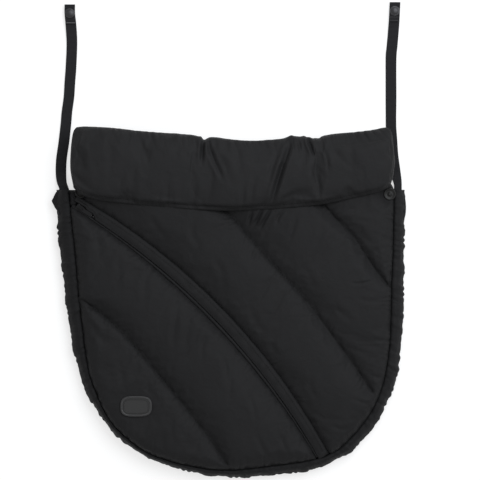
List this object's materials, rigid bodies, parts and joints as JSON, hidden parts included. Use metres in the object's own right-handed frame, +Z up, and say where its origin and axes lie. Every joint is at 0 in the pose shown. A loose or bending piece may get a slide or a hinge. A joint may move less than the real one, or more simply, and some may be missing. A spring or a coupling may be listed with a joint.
{
  "type": "car seat footmuff",
  "caption": "Padded apron footmuff for a baby car seat, with a diagonal zip, a folded cuff, an elasticated side band and two webbing straps ending in press snaps.",
  "frame": {"origin": "centre of the bounding box in plan, at the underside that lies on the floor", "axes": "+Z up out of the front, +Y from the foot of the bag towards the straps, +X towards the folding line of the opening front"},
  "size_m": [0.4592, 0.617, 0.0498],
  "materials": {
    "shell_nylon": "woven nylon, soft sheen",
    "band_nylon": "woven nylon, gathered",
    "wadding_white": "loose fibre wadding",
    "lining_fleece": "brushed fleece",
    "elastic_white": "braided elastic",
    "zip_tape": "woven tape",
    "zip_coil": "moulded coil",
    "zip_metal": "black enamel",
    "webbing": "woven webbing",
    "snap_metal": "dark satin metal",
    "patch_rubber": "soft rubber, bare"
  },
  "bodies": {
    "muff": {"side_band": "band_nylon", "hem_casing": "band_nylon", "hem_elastic": "elastic_white", "front_panel_lower": "shell_nylon", "wadding_lower": "wadding_white", "lining_lower": "lining_fleece", "front_panel_side": "shell_nylon", "wadding_side": "wadding_white", "lining_side": "lining_fleece", "zip_tape_lower": "zip_tape", "zip_coil_lower": "zip_coil", "zip_top_stop_lower": "zip_metal", "zip_bottom_stop": "zip_metal", "badge_patch": "patch_rubber", "stud_right": "snap_metal", "stud_rivet_right": "snap_metal", "strap_anchor_left": "band_nylon", "strap_anchor_right": "band_nylon", "strap_left_lower": "webbing", "strap_right_lower": "webbing"},
    "flap": {"front_panel_flap": "shell_nylon", "wadding_flap": "wadding_white", "lining_flap": "lining_fleece", "zip_tape_flap": "zip_tape", "zip_coil_flap": "zip_coil", "zip_top_stop_flap": "zip_metal", "zip_guard": "shell_nylon", "stud_left": "snap_metal", "stud_rivet_left": "snap_metal"},
    "cuff": {"cuff": "shell_nylon", "wadding_cuff": "wadding_white", "cuff_backing": "shell_nylon"},
    "slider": {"zip_slider": "zip_metal"},
    "pull": {"zip_pull": "zip_metal"},
    "strap_left_middle": {"strap_left_middle": "webbing"},
    "strap_left_end": {"strap_left_end": "webbing", "strap_left_end_fold": "webbing", "snap_cap_left": "snap_metal", "snap_socket_left": "snap_metal"},
    "strap_right_middle": {"strap_right_middle": "webbing"},
    "strap_right_end": {"strap_right_end": "webbing", "strap_right_end_fold": "webbing", "snap_cap_right": "snap_metal", "snap_socket_right": "snap_metal"}
  },
  "joints": [
    {"name": "flap_open", "type": "hinge", "parent": "muff", "child": "flap", "pos_m": [0.13129, -0.27715, 0.0378], "axis": [0.2115, 0.9774, 0], "range_deg": [0, 145]},
    {"name": "cuff_unfold", "type": "hinge", "parent": "flap", "child": "cuff", "pos_m": [0.00534, 0.14122, 0.03445], "axis": [-1, 0, 0], "range_deg": [0, 120]},
    {"name": "slider_travel", "type": "hinge", "parent": "muff", "child": "slider", "pos_m": [-0.67068, -0.73171, 0.0237], "axis": [0, 0, -1], "range_deg": [0, 27.11]},
    {"name": "pull_flip", "type": "hinge", "parent": "slider", "child": "pull", "pos_m": [-0.19241, 0.04037, 0.0257], "axis": [-0.5266, -0.8501, 0], "range_deg": [0, 150]},
    {"name": "strap_left_lift", "type": "hinge", "parent": "muff", "child": "strap_left_middle", "pos_m": [-0.20543, 0.22052, 0.0021], "axis": [0.9999, 0.0165, 0], "range_deg": [0, 90]},
    {"name": "strap_left_loop", "type": "hinge", "parent": "strap_left_middle", "child": "strap_left_end", "pos_m": [-0.20401, 0.25452, 0.0021], "axis": [0.9999, 0.0165, 0], "range_deg": [0, 85]},
    {"name": "strap_right_lift", "type": "hinge", "parent": "muff", "child": "strap_right_middle", "pos_m": [0.21078, 0.22052, 0.0021], "axis": [0.9982, -0.0594, 0], "range_deg": [0, 90]},
    {"name": "strap_right_loop", "type": "hinge", "parent": "strap_right_middle", "child": "strap_right_end", "pos_m": [0.21239, 0.25452, 0.0021], "axis": [0.9982, -0.0594, 0], "range_deg": [0, 85]}
  ],
  "couplings": [
    {"joint": "slider_travel", "follows": "flap_open", "ratio": 0.18693}
  ]
}
